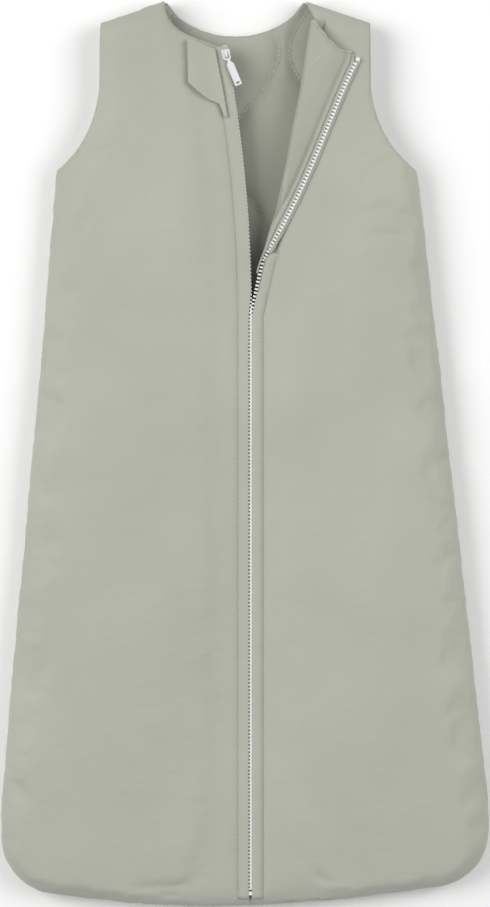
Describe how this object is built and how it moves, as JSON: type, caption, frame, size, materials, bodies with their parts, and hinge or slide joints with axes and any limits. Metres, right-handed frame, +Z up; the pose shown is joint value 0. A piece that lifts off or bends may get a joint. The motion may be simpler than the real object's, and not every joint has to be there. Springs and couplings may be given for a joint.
{
  "type": "baby sleeping bag",
  "caption": "Padded sleeveless sleeping bag lying flat, wide rounded hem, centre zip part open with one front edge folded back as a lapel, quilted lining and a guard flap by the zip's top.",
  "frame": {"origin": "bottom centre of the bounding box, on the surface that the back lies on", "axes": "+Z up from the surface, +Y from the hem to the neck, +X to the viewer's right"},
  "size_m": [0.385, 0.7131, 0.0353],
  "materials": {
    "outer_cotton": "plain woven cotton, soft sage grey-green, matt, lightly crinkled",
    "lining_cotton": "plain woven cotton in the same sage, quilted in waved lines",
    "wadding": "white fibre wadding",
    "interlining": "white stiffening felt",
    "zip_tape": "woven herringbone tape in sage",
    "zip_plastic": "white moulded teeth",
    "white_enamel": "smooth white enamel on die-cast metal",
    "spring_steel": "plain spring steel"
  },
  "bodies": {
    "bag": {"back_outer": "outer_cotton", "back_wadding": "wadding", "back_lining": "lining_cotton", "front_left_outer": "outer_cotton", "front_left_wadding": "wadding", "front_left_lining": "lining_cotton", "front_right_outer": "outer_cotton", "front_right_wadding": "wadding", "front_right_lining": "lining_cotton", "zip_tape_left": "zip_tape", "zip_tape_right": "zip_tape", "zip_teeth_left": "zip_plastic", "zip_teeth_right": "zip_plastic", "top_stop_left": "zip_plastic", "bottom_stop": "zip_plastic"},
    "lapel": {"lapel_outer": "outer_cotton", "lapel_wadding": "wadding", "lapel_facing": "lining_cotton", "zip_tape_lapel": "zip_tape", "zip_teeth_lapel": "zip_plastic", "top_stop_lapel": "zip_plastic"},
    "slider": {"slider_body": "white_enamel", "slider_bail": "white_enamel", "lock_spring": "spring_steel"},
    "pull": {"pull_tab": "white_enamel"},
    "guard": {"guard_lining": "outer_cotton", "guard_interlining": "interlining", "guard_outer": "outer_cotton"}
  },
  "joints": [
    {"name": "lapel_fold", "type": "hinge", "parent": "bag", "child": "lapel", "pos_m": [0.0066, 0.107, 0.02815], "axis": [-0.205, -0.9788, 0], "range_deg": [0, 180]},
    {"name": "slider_travel", "type": "hinge", "parent": "bag", "child": "slider", "pos_m": [-1.1176, 0.107, 0.0267], "axis": [0, 0, -1], "range_deg": [0, 8.82]},
    {"name": "pull_flip", "type": "hinge", "parent": "slider", "child": "pull", "pos_m": [-0.01458, 0.3125, 0.0308], "axis": [-0.9831, -0.1832, 0], "range_deg": [0, 170]},
    {"name": "guard_fold", "type": "hinge", "parent": "bag", "child": "guard", "pos_m": [-0.01271, 0.263, 0.02815], "axis": [-0.1663, 0.9861, 0], "range_deg": [0, 90]}
  ]
}
